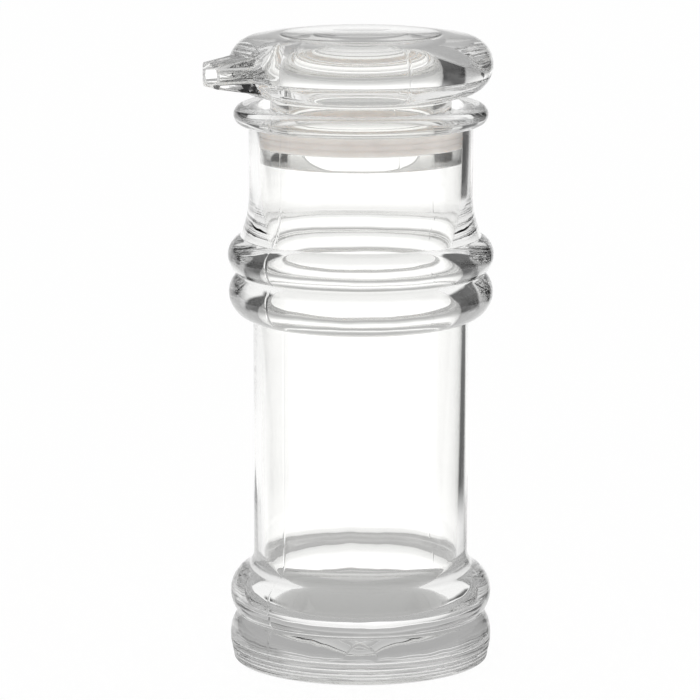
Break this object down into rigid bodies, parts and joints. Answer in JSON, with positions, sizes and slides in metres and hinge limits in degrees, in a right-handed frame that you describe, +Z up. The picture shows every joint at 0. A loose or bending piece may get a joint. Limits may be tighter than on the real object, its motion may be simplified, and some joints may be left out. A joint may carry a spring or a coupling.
{
  "type": "oil dispenser bottle",
  "caption": "Clear round bottle with moulded beads and a thick base, closed by a lift-and-turn lid with a side pouring spout and a soft seal ring.",
  "frame": {"origin": "centre of the plane that the bottle stands on, on the axis of the bottle", "axes": "+Z up along the axis of the bottle, -X out of the pouring spout"},
  "size_m": [0.0871, 0.0784, 0.1863],
  "materials": {
    "clear_acrylic": "clear polished acrylic",
    "seal_silicone": "translucent satin silicone"
  },
  "bodies": {
    "bottle": {"bottle": "clear_acrylic"},
    "seal": {"seal_ring": "seal_silicone"},
    "lid": {"lid_lower": "clear_acrylic", "lid_upper": "clear_acrylic", "crown_disc": "clear_acrylic"}
  },
  "joints": [
    {"name": "lid_lift", "type": "slide", "parent": "bottle", "child": "seal", "axis": [0, 0, 1], "range_m": [-0.0029, 0.045]},
    {"name": "lid_turn", "type": "hinge", "parent": "seal", "child": "lid", "pos_m": [0, 0, 0.157], "axis": [0, 0, 1], "continuous": true}
  ]
}
